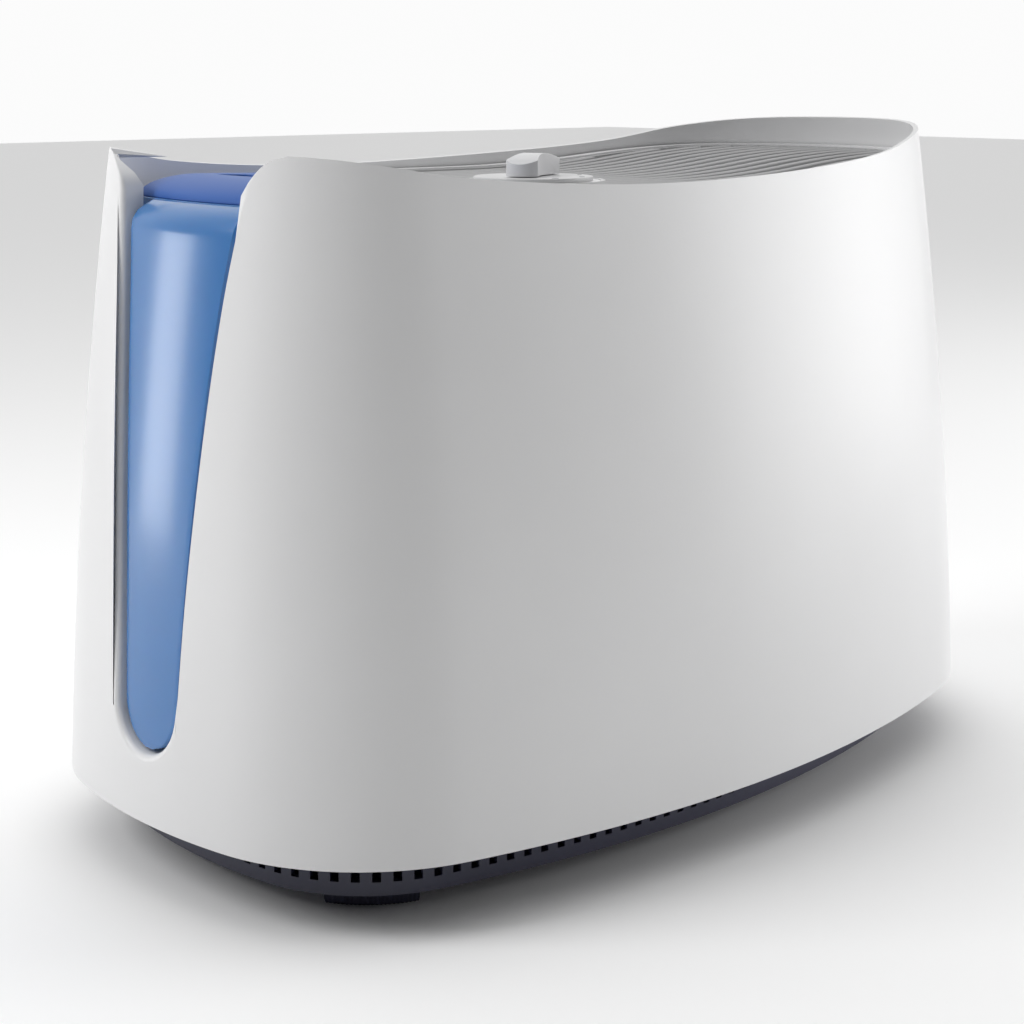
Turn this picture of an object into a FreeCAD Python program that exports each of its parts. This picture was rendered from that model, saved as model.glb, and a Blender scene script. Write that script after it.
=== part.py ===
"""Table-top evaporative cool mist humidifier, built as separate pieces.

Millimetres, +Z up. The long side lies along X, with the water tank at the -X end.
The origin is on the table, at the middle of the body's footprint.
"""
import FreeCAD
import Part
import math
import os

V = FreeCAD.Vector
UP = V(0, 0, 1)

# ---- plan of the body: arcs that run tangent into each other, mirrored about the X axis ----
HALF_LENGTH = 217.0
LEFT_RADIUS = 256.0
LEFT_HALF_ANGLE = 11.0
CORNER_RADIUS = 82.5
CORNER_END_ANGLE = 76.2
SIDE_RADIUS = 540.9

# ---- outer housing ----
SHELL_BOTTOM = 28.0
SHELL_TOP = 292.0
SHELL_WALL = 3.0
LEAN_LINEAR = 5.77        # inward lean of the wall, per 100 mm of height
LEAN_SQUARE = 1.84        # added lean, per square of 100 mm
RIM_CREST = [(-235, 277.0), (-182, 275.3), (-135, 268.0), (-77, 263.9), (-20, 263.5),
             (58, 266.5), (111, 270.6), (150, 277.3), (185, 281.4), (235, 282.0)]

# ---- slot in the left end, and the flange rolled in from its edge ----
SLOT_FOOT_Z = 54.0
SLOT_FOOT_RADIUS = 19.5
SLOT_SIDE = [(120, 22.3), (180, 27.6), (225, 32.7), (257, 38.0), (268, 44.5), (275, 55.0)]
FLANGE_DEPTH = 8.5
FLANGE_THICKNESS = 2.5

# ---- base tray, vent slots and feet ----
BASE_BOTTOM = 9.5
SKIRT_INSET = 22.0
SKIRT_TOP = 50.0
TUB_INSET = 31.0
TUB_TOP = 54.0
TRAY_WALL = 2.5
TRAY_FLOOR = 3.5
WELL_RADIUS = 36.0
REST_GAP = 0.3            # kept between faces of pieces that only rest on each other
VENT_PITCH = 7.6
VENT_WIDTH = 3.3
VENT_LOW = 14.8
VENT_HIGH = 44.0
FOOT_OUTER_INSET = 34.0
FOOT_WIDTH = 12.0

# ---- sloping deck, ledge and grille ----
DECK_LOW_Z = 260.0        # the deck runs level, then up through two arcs, then level
DECK_HIGH_Z = 268.4
DECK_RISE_START = 22.0
DECK_RISE_END = 176.0
DECK_LEFT = -58.0
DECK_THICKNESS = 3.0
GRILLE_INSET = 33.4
GRILLE_DROP = 0.8
GRILLE_DEPTH = 9.0
SLAT_PITCH = 10.0
SLAT_THICKNESS = 2.0
RIB_THICKNESS = 2.0
RIB_PITCH = 24.0

# ---- dial, knob and switch ----
DIAL_X = -16.0
DIAL_RADIUS = 25.0
DIAL_TOP = 260.8
DIAL_THICKNESS = 1.8
KNOB_GAP = 0.4
KNOB_TOP = 270.2
KNOB_LENGTH = 34.0
KNOB_END_WIDTH = 14.0
KNOB_WAIST = 9.5
KNOB_REST_ANGLE = 27.0
SHAFT_RADIUS = 3.0
SWITCH_SIZE = 30.0
SWITCH_LOW = 226.0
SWITCH_HIGH = 247.0

# ---- tank bay, tank, cap and valve ----
TANK_INSET = 36.0
TANK_RIGHT = -62.0
TANK_LOW = 46.0
TANK_HIGH = 257.0
TANK_WALL = 2.2
NOSE_INSET = 3.2
NOSE_GAP = 1.5
LINER_GAP = 1.6
LINER_WALL = 2.0
LINER_LOW = 58.0
LINER_HIGH = 252.0
GRIP_INSET = 36.5
GRIP_HIGH = 264.5
GRIP_ROUNDING = 6.0
PAN_DEPTH = 22.0
PAN_HALF_X = 24.0
PAN_HALF_Y = 46.0
BAR_HALF = 9.0
TANK_X = -120.0
NECK_RADIUS = 23.0
NECK_LOW = 30.0
CAP_RADIUS = 27.5
CAP_LOW = 24.0
CAP_FLOOR = 3.0
CAP_HIGH = 44.0
VALVE_TRAVEL = 5.0
VALVE_STEM = 2.5
POST_TOP = 22.0
CAGE_TOP = 49.0
SEAL_LOW = CAP_LOW + CAP_FLOOR + VALVE_TRAVEL
SEAL_THICKNESS = 2.5
COLLAR_LOW = SEAL_LOW + SEAL_THICKNESS
COLLAR_THICKNESS = 1.5

# ---- wick filter, fan and motor ----
FAN_X = 92.0
WICK_OUTER = 76.0
WICK_INNER = 50.0
WICK_HIGH = 150.0
WICK_HALF_ANGLE = 140.0
SHROUD_LOW = 156.0
SHROUD_HIGH = 205.0
SHROUD_BORE = 72.5
FAN_RADIUS = 70.0
FAN_LOW = 166.0
FAN_HIGH = 196.0
HUB_RADIUS = 20.0
BLADES = 6
MOTOR_RADIUS = 36.0
MOTOR_LOW = 212.0
MOTOR_HIGH = 243.0
LEAD_RADIUS = 3.0


def save(name, shape):
    """Write one piece to its own file."""
    shape.exportStep("parts/%s.step" % name)


def solve_plan():
    """Centres of the corner, side and right end arcs, worked out so that all run tangent."""
    left_x = LEFT_RADIUS - HALF_LENGTH
    turn = math.radians(LEFT_HALF_ANGLE)
    reach = LEFT_RADIUS - CORNER_RADIUS
    corner = (left_x - reach * math.cos(turn), -reach * math.sin(turn))
    turn = math.radians(CORNER_END_ANGLE)
    reach = SIDE_RADIUS - CORNER_RADIUS
    side = (corner[0] + reach * math.cos(turn), corner[1] + reach * math.sin(turn))
    span = HALF_LENGTH - side[0]
    right_radius = (SIDE_RADIUS ** 2 - span ** 2 - side[1] ** 2) / (2 * (SIDE_RADIUS - span))
    right_x = HALF_LENGTH - right_radius
    end_angle = math.degrees(math.atan2(side[1], side[0] - right_x))
    return left_x, corner, side, right_x, right_radius, end_angle


LEFT_X, CORNER, SIDE, RIGHT_X, RIGHT_RADIUS, SIDE_END_ANGLE = solve_plan()


def plan_point(centre, radius, angle, mirror, z):
    """Point at an angle measured from -X round through -Y, mirrored for the rear half."""
    turn = math.radians(angle)
    y = centre[1] - radius * math.sin(turn)
    return V(centre[0] - radius * math.cos(turn), y * mirror, z)


def plan_wire(inset, z):
    """Closed plan outline at one height, moved in by an inset."""
    front = [((LEFT_X, 0), LEFT_RADIUS, 0, LEFT_HALF_ANGLE),
             (CORNER, CORNER_RADIUS, LEFT_HALF_ANGLE, CORNER_END_ANGLE),
             (SIDE, SIDE_RADIUS, CORNER_END_ANGLE, SIDE_END_ANGLE),
             ((RIGHT_X, 0), RIGHT_RADIUS, SIDE_END_ANGLE, 180)]
    edges = []
    for mirror, run in ((1, front), (-1, front[::-1])):
        for centre, radius, start, end in run:
            angles = (start, (start + end) / 2, end)
            if mirror < 0:
                angles = angles[::-1]
            points = [plan_point(centre, radius - inset, a, mirror, z) for a in angles]
            edges.append(Part.Arc(*points).toShape())
    return Part.Wire(edges)


def lean(z):
    """How far the housing wall has moved in at a height."""
    rise = (z - SHELL_BOTTOM) / 100.0
    return LEAN_LINEAR * rise + LEAN_SQUARE * rise * rise


def leaning_solid(inset, low, high):
    """Solid bounded by the housing's leaning wall, moved in by an inset."""
    steps = 4
    heights = [low + (high - low) * i / steps for i in range(steps + 1)]
    return Part.makeLoft([plan_wire(inset + lean(z), z) for z in heights], True, False)


def straight_solid(inset, low, high):
    """Upright solid with the plan outline moved in by an inset."""
    return Part.Face(plan_wire(inset, low)).extrude(V(0, 0, high - low))


def box(x0, x1, y0, y1, z0, z1):
    return Part.makeBox(x1 - x0, y1 - y0, z1 - z0, V(x0, y0, z0))


def rod(radius, x, y, low, high):
    return Part.makeCylinder(radius, high - low, V(x, y, low), UP)


def ring(outer, inner, x, y, low, high):
    return rod(outer, x, y, low, high).cut(rod(inner, x, y, low - 1, high + 1))


def side_y(x, inset):
    """Half width of the plan outline at x, on the long side or the right end arc."""
    if x < RIGHT_X + RIGHT_RADIUS * math.cos(math.radians(180 - SIDE_END_ANGLE)):
        return math.sqrt((SIDE_RADIUS - inset) ** 2 - (x - SIDE[0]) ** 2) - SIDE[1]
    return math.sqrt((RIGHT_RADIUS - inset) ** 2 - (x - RIGHT_X) ** 2)


def curve_through(points):
    curve = Part.BSplineCurve()
    curve.interpolate(points)
    return curve.toShape()


def above_rim():
    """Everything above the waved rim of the housing."""
    crest = [V(x, -200, z) for x, z in RIM_CREST]
    ends = [crest[-1], V(crest[-1].x, -200, 320), V(crest[0].x, -200, 320), crest[0]]
    face = Part.Face(Part.Wire([curve_through(crest)] + Part.makePolygon(ends).Edges))
    return face.extrude(V(0, 400, 0))


def slot_solid(grow, x0, x1):
    """Prism along X with the slot's outline, grown by an amount."""
    top = 320
    middle = SLOT_FOOT_Z + SLOT_FOOT_RADIUS
    radius = SLOT_FOOT_RADIUS + grow
    right = [V(x0, radius, middle)] + [V(x0, half + grow, z) for z, half in SLOT_SIDE]
    left = [V(x0, -p.y, p.z) for p in right]
    foot = Part.Arc(left[0], V(x0, 0, middle - radius), right[0]).toShape()
    ends = [right[-1], V(x0, right[-1].y, top), V(x0, left[-1].y, top), left[-1]]
    edges = [foot, curve_through(right)] + Part.makePolygon(ends).Edges
    edges.append(curve_through(left[::-1]))
    return Part.Face(Part.Wire(edges)).extrude(V(x1 - x0, 0, 0))


def deck_z(x):
    """Height of the deck's top at x."""
    half = (DECK_RISE_END - DECK_RISE_START) / 2
    rise = (DECK_HIGH_Z - DECK_LOW_Z) / 2
    radius = (half * half + rise * rise) / (2 * rise)
    x = min(max(x, DECK_RISE_START), DECK_RISE_END)
    if x < DECK_RISE_START + half:
        return DECK_LOW_Z + radius - math.sqrt(radius ** 2 - (x - DECK_RISE_START) ** 2)
    return DECK_HIGH_Z - radius + math.sqrt(radius ** 2 - (x - DECK_RISE_END) ** 2)


def deck_line(drop):
    """Edges of the deck line, moved down by a drop."""
    middle = (DECK_RISE_START + DECK_RISE_END) / 2
    quarter = (middle - DECK_RISE_START) / 2
    places = [-70, DECK_RISE_START, middle - quarter, middle, middle + quarter, DECK_RISE_END, 210]
    p = [V(x, -150, deck_z(x) - drop) for x in places]
    return [Part.makeLine(p[0], p[1]), Part.Arc(p[1], p[2], p[3]).toShape(),
            Part.Arc(p[3], p[4], p[5]).toShape(), Part.makeLine(p[5], p[6])]


def deck_layer(top_drop, bottom_drop):
    """Layer that follows the sloping deck line, between two depths below it."""
    upper = deck_line(top_drop)
    lower = deck_line(bottom_drop)
    left = Part.makeLine(lower[0].valueAt(lower[0].FirstParameter),
                         upper[0].valueAt(upper[0].FirstParameter))
    right = Part.makeLine(upper[-1].valueAt(upper[-1].LastParameter),
                          lower[-1].valueAt(lower[-1].LastParameter))
    wire = Part.Wire(Part.__sortEdges__(upper + [right] + lower + [left]))
    return Part.Face(wire).extrude(V(0, 300, 0))


def right_of(x):
    return box(x, 260, -160, 160, 0, 330)


# ---------------------------------------------------------------- housing body

BOSS_SPOTS = [(0, 1), (0, -1), (150, 1), (150, -1)]
BOSS_RADIUS = 5.5
BOSS_INSET = 18.5
REST_RIBS = [(-120, 1), (-120, -1), (20, 1), (20, -1), (130, 1), (130, -1)]
LEAD_X = 40.0
LEAD_Y = 94.0
GLAND_Z = 72.0


def outer_housing():
    """Leaning shell, waved rim, slot with its flange, rest ribs and screw bosses."""
    outer = leaning_solid(0, SHELL_BOTTOM, SHELL_TOP)
    shell = outer.cut(leaning_solid(SHELL_WALL, SHELL_BOTTOM - 2, SHELL_TOP + 2))
    shell = shell.cut(slot_solid(0, -260, -140))
    band = slot_solid(FLANGE_THICKNESS, -260, -140).cut(slot_solid(0, -261, -139))
    flange = outer.common(band).cut(leaning_solid(FLANGE_DEPTH, SHELL_BOTTOM, SHELL_TOP + 1))
    shell = shell.fuse(flange).cut(above_rim())
    for x, side in REST_RIBS:
        rib = box(x - 1.5, x + 1.5, 90, 130, SKIRT_TOP + REST_GAP, SKIRT_TOP + 14)
        rib = rib.cut(straight_solid(SKIRT_INSET + 4, SKIRT_TOP - 1, SKIRT_TOP + 20))
        rib = rib.common(outer)
        if side < 0:
            rib = rib.mirror(V(0, 0, 0), V(0, 1, 0))
        shell = shell.fuse(rib)
    for x, side in BOSS_SPOTS:
        y = side * side_y(x, BOSS_INSET)
        post = rod(BOSS_RADIUS, x, y, SHROUD_LOW + DECK_THICKNESS, SHROUD_LOW + 20)
        post = post.cut(rod(1.5, x, y, SHROUD_LOW, SHROUD_LOW + 16)).common(outer)
        shell = shell.fuse(post)
    wall_y = side_y(LEAD_X, lean(GLAND_Z))
    hole = Part.makeCylinder(5.5, 20, V(LEAD_X, wall_y - 10, GLAND_Z), V(0, 1, 0))
    return shell.cut(hole).removeSplitter()


def dial_ring(outer, inner, low, high):
    return ring(outer, inner, DIAL_X, 0, low, high)


def top_deck():
    """Ledge round the grille, cross piece beside the tank bay, and the seat under the dial."""
    layer = deck_layer(0, DECK_THICKNESS + 9).common(right_of(DECK_LEFT))
    edge = layer.common(leaning_solid(SHELL_WALL + 0.2, 240, 285))
    opening = straight_solid(GRILLE_INSET - REST_GAP, 238, 290).common(right_of(DECK_LEFT + 8))
    deck = edge.cut(opening)
    seat = rod(DIAL_RADIUS + 3, DIAL_X, 0, 250, DIAL_TOP - DIAL_THICKNESS)
    arm = box(DECK_LEFT + 1, DIAL_X, -9, 9, 250, 254)
    deck = deck.fuse(seat).fuse(arm)
    deck = deck.cut(rod(5.6, DIAL_X, 0, 240, 270))
    return deck.removeSplitter()


def outlet_grille():
    """Slats along X that follow the deck line, tied by cross ribs and an edge band."""
    left = DECK_LEFT + 8 + REST_GAP
    field = straight_solid(GRILLE_INSET, 240, 285).common(right_of(left))
    field = field.cut(rod(DIAL_RADIUS + 3.3, DIAL_X, 0, 230, 290))
    field = field.cut(box(-80, DIAL_X, -9.3, 9.3, 240, 254.3))
    inner = straight_solid(GRILLE_INSET + 2, 239, 286).common(right_of(left + 2))
    band = deck_layer(GRILLE_DROP, GRILLE_DEPTH).common(field.cut(inner))
    count = int(110 / SLAT_PITCH)
    slats = [box(left, 215, SLAT_PITCH * i - SLAT_THICKNESS / 2,
                 SLAT_PITCH * i + SLAT_THICKNESS / 2, 240, 285) for i in range(-count, count + 1)]
    slats = deck_layer(GRILLE_DROP, GRILLE_DEPTH).common(Part.makeCompound(slats))
    places = [left + 12 + RIB_PITCH * i for i in range(11)]
    ribs = [box(x, x + RIB_THICKNESS, -120, 120, 240, 285) for x in places]
    ribs = deck_layer(GRILLE_DEPTH - 3, GRILLE_DEPTH).common(Part.makeCompound(ribs))
    collar = dial_ring(DIAL_RADIUS + 5.3, DIAL_RADIUS + 3.3, 251.2, 259.2)
    collar = collar.cut(box(-80, DIAL_X, -9.3, 9.3, 240, 254.3))
    solids = slats.common(field).Solids + ribs.common(field).Solids
    return band.multiFuse(solids + [collar]).removeSplitter()


def dial_plate():
    return dial_ring(DIAL_RADIUS, 4.2, DIAL_TOP - DIAL_THICKNESS, DIAL_TOP)


def rotary_switch():
    """Boxed switch with a threaded bush that passes up through the deck's seat."""
    half = SWITCH_SIZE / 2
    body = box(DIAL_X - half, DIAL_X + half, -half, half, SWITCH_LOW, SWITCH_HIGH)
    bush = rod(5.5, DIAL_X, 0, SWITCH_HIGH, 256.0)
    for side in (-1, 1):
        tab = box(DIAL_X - 3, DIAL_X + 3, side * 9 - 0.4, side * 9 + 0.4, SWITCH_LOW - 6, SWITCH_LOW)
        body = body.fuse(tab)
    body = body.fuse(bush).cut(rod(SHAFT_RADIUS + 0.05, DIAL_X, 0, SWITCH_LOW + 4, 260))
    return body


def tank_bay_liner():
    """Upright D-shaped sleeve round the tank, open at the bottom, the top and the slot."""
    inner = TANK_INSET - LINER_GAP
    outer = inner - LINER_WALL
    right = TANK_RIGHT + LINER_GAP
    keep = box(-260, right + LINER_WALL, -160, 160, 0, 330)
    core = box(-261, right, -161, 161, 0, 330)
    sleeve = straight_solid(outer, LINER_LOW, LINER_HIGH).common(keep)
    sleeve = sleeve.cut(straight_solid(inner, LINER_LOW - 1, LINER_HIGH + 1).common(core))
    return sleeve.cut(slot_solid(FLANGE_THICKNESS + 2, -260, -140))


def fan_shroud():
    """Floor plate that seals the air path, with the fan's ring and four screw posts on it."""
    plate = leaning_solid(SHELL_WALL + 0.2, SHROUD_LOW, SHROUD_LOW + DECK_THICKNESS)
    left = TANK_RIGHT + LINER_GAP + LINER_WALL + 0.2
    plate = plate.common(right_of(left))
    shroud = plate.fuse(rod(SHROUD_BORE + 2.5, FAN_X, 0, SHROUD_LOW, SHROUD_HIGH))
    for x, y in motor_posts():
        shroud = shroud.fuse(rod(6, x, y, SHROUD_LOW, SHROUD_HIGH))
    shroud = shroud.cut(rod(SHROUD_BORE, FAN_X, 0, SHROUD_LOW - 1, SHROUD_HIGH + 1))
    for x, y in motor_posts():
        shroud = shroud.cut(rod(1.5, x, y, SHROUD_HIGH - 12, SHROUD_HIGH + 1))
    for x, side in BOSS_SPOTS:
        shroud = shroud.cut(rod(2.2, x, side * side_y(x, BOSS_INSET), 150, 162))
    return shroud.cut(rod(LEAD_RADIUS + 1, LEAD_X, LEAD_Y + 1.5, 150, 165))


def motor_posts():
    """Places of the four posts that carry the motor bracket."""
    reach = SHROUD_BORE + 7
    turns = [math.radians(45 + 90 * i) for i in range(4)]
    return [(FAN_X + reach * math.cos(t), reach * math.sin(t)) for t in turns]


def motor_bracket():
    """Four-armed plate that hangs the motor over the fan."""
    low = SHROUD_HIGH + 4
    plate = rod(MOTOR_RADIUS, FAN_X, 0, low, MOTOR_LOW)
    for i in range(4):
        arm = box(0, SHROUD_BORE + 7, -6, 6, low, MOTOR_LOW)
        arm.rotate(V(0, 0, 0), UP, 45 + 90 * i)
        arm.translate(V(FAN_X, 0, 0))
        plate = plate.fuse(arm)
    for x, y in motor_posts():
        plate = plate.fuse(rod(6, x, y, low, MOTOR_LOW)).cut(rod(2.2, x, y, low - 1, MOTOR_LOW + 1))
    plate = plate.cut(rod(9, FAN_X, 0, low - 1, MOTOR_LOW + 1))
    return plate.removeSplitter()


def motor_grommets():
    low = SHROUD_HIGH
    return Part.makeCompound([ring(6, 2.2, x, y, low, low + 4) for x, y in motor_posts()])


def screw(x, y, head_low, head_radius, shank_radius, length, up=False):
    """Pan head with its shank; up puts the shank above the head."""
    head = rod(head_radius, x, y, head_low, head_low + 2.2)
    if up:
        return head.fuse(rod(shank_radius, x, y, head_low + 2.2, head_low + 2.2 + length))
    return head.fuse(rod(shank_radius, x, y, head_low - length, head_low))


def bracket_screws():
    return Part.makeCompound([screw(x, y, MOTOR_LOW, 4, 1.5, 18) for x, y in motor_posts()])


def shroud_screws():
    spots = [(x, side * side_y(x, BOSS_INSET)) for x, side in BOSS_SPOTS]
    low = SHROUD_LOW - 2.2
    return Part.makeCompound([screw(x, y, low, 4, 1.5, 14, True) for x, y in spots])


def motor_can():
    can = rod(MOTOR_RADIUS, FAN_X, 0, MOTOR_LOW, MOTOR_HIGH)
    can = can.fuse(rod(8.5, FAN_X, 0, MOTOR_LOW - 4, MOTOR_LOW))
    can = can.cut(rod(4.05, FAN_X, 0, MOTOR_LOW - 6, MOTOR_HIGH + 1))
    for i in range(8):
        turn = math.radians(45 * i + 22.5)
        x = FAN_X + (MOTOR_RADIUS - 7) * math.cos(turn)
        can = can.cut(rod(2.4, x, (MOTOR_RADIUS - 7) * math.sin(turn), MOTOR_HIGH - 8, MOTOR_HIGH + 1))
    return can


def motor_end_bell():
    bell = rod(MOTOR_RADIUS - 2, FAN_X, 0, MOTOR_HIGH, MOTOR_HIGH + 3)
    bell = bell.fuse(rod(11, FAN_X, 0, MOTOR_HIGH + 3, MOTOR_HIGH + 7))
    bell = bell.cut(rod(4.05, FAN_X, 0, MOTOR_HIGH - 1, MOTOR_HIGH + 5))
    for i in range(8):
        turn = math.radians(45 * i)
        spot = (FAN_X + 22 * math.cos(turn), 22 * math.sin(turn))
        bell = bell.cut(rod(4, spot[0], spot[1], MOTOR_HIGH - 1, MOTOR_HIGH + 4))
    return bell


def cord_gland():
    """Strain relief bush at the rear, where the supply lead enters."""
    wall_y = side_y(LEAD_X, lean(GLAND_Z))
    bush = Part.makeCylinder(5.5, 10, V(LEAD_X, wall_y - 9, GLAND_Z), V(0, 1, 0))
    flange = Part.makeCone(9, 7, 3, V(LEAD_X, wall_y + 1, GLAND_Z), V(0, 1, 0))
    bore = Part.makeCylinder(LEAD_RADIUS, 30, V(LEAD_X, wall_y - 15, GLAND_Z), V(0, 1, 0))
    return bush.fuse(flange).cut(bore).removeSplitter()


def bent_rod(points, radius, bend):
    """Round lead along straight runs joined by tangent arcs."""
    edges = []
    start = points[0]
    for before, here, after in zip(points, points[1:], points[2:]):
        into = (here - before).normalize()
        out = (after - here).normalize()
        half = into.getAngle(out) / 2
        trim = bend * math.tan(half)
        a = here - into * trim
        b = here + out * trim
        inward = (out - into).normalize()
        middle = here + inward * (bend / math.cos(half) - bend)
        edges.append(Part.makeLine(start, a))
        edges.append(Part.Arc(a, middle, b).toShape())
        start = b
    edges.append(Part.makeLine(start, points[-1]))
    path = Part.Wire(edges)
    circle = Part.Wire(Part.makeCircle(radius, points[0], points[1] - points[0]))
    return path.makePipeShell([circle], True, False)


def supply_lead():
    """Lead held inside the housing, from the gland up the rear wall to the switch."""
    wall_y = side_y(LEAD_X, lean(GLAND_Z))
    high = 236.0
    points = [V(LEAD_X, wall_y + 4, GLAND_Z), V(LEAD_X, LEAD_Y + 3, GLAND_Z), V(LEAD_X, LEAD_Y, high),
              V(DIAL_X, LEAD_Y - 10, high), V(DIAL_X, SWITCH_SIZE / 2, high)]
    return bent_rod(points, LEAD_RADIUS, 14.0)


def motor_lead():
    """Short lead with a dip in it, from the switch to the motor."""
    start = DIAL_X + SWITCH_SIZE / 2
    end = FAN_X - MOTOR_RADIUS - 0.05
    high = 236.0
    low = 230.0
    points = [V(start, 0, high), V(start + 10, 0, high), V(start + 21, 0, low),
              V(end - 21, 0, low), V(end - 10, 0, high), V(end, 0, high)]
    return bent_rod(points, 2.5, 10.0)


def lead_clips():
    """Clips that hold the supply lead against the rear wall."""
    clips = []
    for z in (110, 190):
        y = LEAD_Y + 3 * (236 - z) / (236 - GLAND_Z)
        clip = rod(LEAD_RADIUS + 2, LEAD_X, y, z, z + 6)
        clip = clip.fuse(box(LEAD_X - 2, LEAD_X + 2, y, 140, z, z + 6))
        clip = clip.common(leaning_solid(SHELL_WALL, 60, 260))
        clips.append(clip.cut(rod(LEAD_RADIUS + 0.15, LEAD_X, y, z - 1, z + 7)))
    return Part.makeCompound(clips)


# ---------------------------------------------------------------- knob body

def knob_outline(length, end_width, waist, z):
    """Bar outline with rounded ends and hollow flanks, along X."""
    half = length / 2
    end = end_width / 2
    tip = half - end * 0.55
    corners = [V(tip, end, z), V(-tip, end, z), V(-tip, -end, z), V(tip, -end, z)]
    flank = Part.Arc(corners[0], V(0, waist / 2, z), corners[1]).toShape()
    left = Part.Arc(corners[1], V(-half, 0, z), corners[2]).toShape()
    back = Part.Arc(corners[2], V(0, -waist / 2, z), corners[3]).toShape()
    right = Part.Arc(corners[3], V(half, 0, z), corners[0]).toShape()
    return Part.Face(Part.Wire([flank, left, back, right]))


def control_knob():
    """Hourglass bar with an arched top and a bore for the switch shaft."""
    low = DIAL_TOP + KNOB_GAP
    bar = knob_outline(KNOB_LENGTH, KNOB_END_WIDTH, KNOB_WAIST, low).extrude(V(0, 0, 30))
    end_drop = 4.0
    half = KNOB_LENGTH / 2
    arch = (half * half + end_drop * end_drop) / (2 * end_drop)
    dome = Part.makeCylinder(arch, 40, V(0, -20, KNOB_TOP - arch), V(0, 1, 0))
    bar = bar.common(dome)
    bar = bar.cut(rod(SHAFT_RADIUS, 0, 0, low - 1, KNOB_TOP - 3))
    bar.rotate(V(0, 0, 0), UP, KNOB_REST_ANGLE)
    bar.translate(V(DIAL_X, 0, 0))
    return bar


def switch_shaft():
    return rod(SHAFT_RADIUS, DIAL_X, 0, SWITCH_LOW + 5, KNOB_TOP - 3)


# ---------------------------------------------------------------- fan body

def fan_blade():
    """Hub cup with pitched blades."""
    cup = rod(HUB_RADIUS, FAN_X, 0, FAN_LOW, FAN_HIGH)
    cup = cup.cut(rod(HUB_RADIUS - 2, FAN_X, 0, FAN_LOW + 3, FAN_HIGH + 1))
    cup = cup.fuse(rod(7, FAN_X, 0, FAN_LOW, FAN_HIGH - 4))
    room = ring(FAN_RADIUS, HUB_RADIUS - 1, 0, 0, FAN_LOW + 1, FAN_HIGH - 1)
    middle = (FAN_LOW + FAN_HIGH) / 2
    for i in range(BLADES):
        blade = Part.makeBox(FAN_RADIUS, 2.0, 60, V(0, -1, -30))
        blade.rotate(V(0, 0, 0), V(1, 0, 0), 55)
        blade.translate(V(0, 0, middle))
        blade = blade.common(room)
        blade.rotate(V(0, 0, 0), UP, 360.0 * i / BLADES)
        blade.translate(V(FAN_X, 0, 0))
        cup = cup.fuse(blade)
    return cup.cut(rod(4.0, FAN_X, 0, FAN_LOW - 1, FAN_HIGH + 1))


def motor_shaft():
    return rod(4.0, FAN_X, 0, FAN_LOW - 4, MOTOR_HIGH + 4.5)


def fan_nut():
    return ring(7, 4.0, FAN_X, 0, FAN_LOW - 3, FAN_LOW)


# ---------------------------------------------------------------- tank, cap and valve

def tank_form(shrink, low, high):
    """Solid of the tank: upright body behind the slot, and the nose that fills the slot."""
    body = straight_solid(TANK_INSET + shrink, low, high)
    body = body.common(box(-260, TANK_RIGHT - shrink, -160, 160, 0, 330))
    upright = [e for e in body.Edges
               if e.BoundBox.ZLength > 50 and e.BoundBox.XMin > TANK_RIGHT - shrink - 1]
    body = body.makeFillet(14.0 - shrink, upright)
    nose = leaning_solid(NOSE_INSET + shrink, 50, high)
    nose = nose.common(slot_solid(-NOSE_GAP - shrink, -260, -150))
    return body.fuse(nose).removeSplitter()


def water_tank():
    """Hollow tank with its neck, and a pan in the top under the grip bar."""
    tank = tank_form(0, TANK_LOW, TANK_HIGH)
    hollow = tank_form(TANK_WALL, TANK_LOW + TANK_WALL, TANK_HIGH - TANK_WALL)
    pan = box(TANK_X - PAN_HALF_X, TANK_X + PAN_HALF_X, -PAN_HALF_Y, PAN_HALF_Y,
              TANK_HIGH - PAN_DEPTH, TANK_HIGH + 1)
    wall = TANK_WALL
    pan_wall = box(TANK_X - PAN_HALF_X - wall, TANK_X + PAN_HALF_X + wall, -PAN_HALF_Y - wall,
                   PAN_HALF_Y + wall, TANK_HIGH - PAN_DEPTH - wall, TANK_HIGH)
    tank = tank.cut(hollow.cut(pan_wall)).cut(pan)
    neck = rod(NECK_RADIUS, TANK_X, 0, NECK_LOW, TANK_LOW + 1)
    tank = tank.fuse(neck).cut(rod(NECK_RADIUS - 2.5, TANK_X, 0, 0, TANK_LOW + 5))
    return tank.removeSplitter()


def tank_grip():
    """Rounded top piece with two finger openings and the carrying bar between them."""
    grip = straight_solid(GRIP_INSET, TANK_HIGH, GRIP_HIGH)
    grip = grip.common(box(-260, TANK_RIGHT - 3, -160, 160, 0, 330))
    upright = [e for e in grip.Edges
               if e.BoundBox.ZLength > 5 and e.BoundBox.XMin > TANK_RIGHT - 5]
    grip = grip.makeFillet(12.0, upright)
    top = [e for e in grip.Edges if e.BoundBox.ZMin > GRIP_HIGH - 0.1]
    grip = grip.makeFillet(GRIP_ROUNDING, top)
    for side in (-1, 1):
        near = TANK_X + side * BAR_HALF
        far = TANK_X + side * PAN_HALF_X
        hole = box(min(near, far), max(near, far), -PAN_HALF_Y, PAN_HALF_Y, 250, 280)
        edges = [e for e in hole.Edges if e.BoundBox.ZLength > 20]
        grip = grip.cut(hole.makeFillet(6.0, edges))
    return grip


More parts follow.
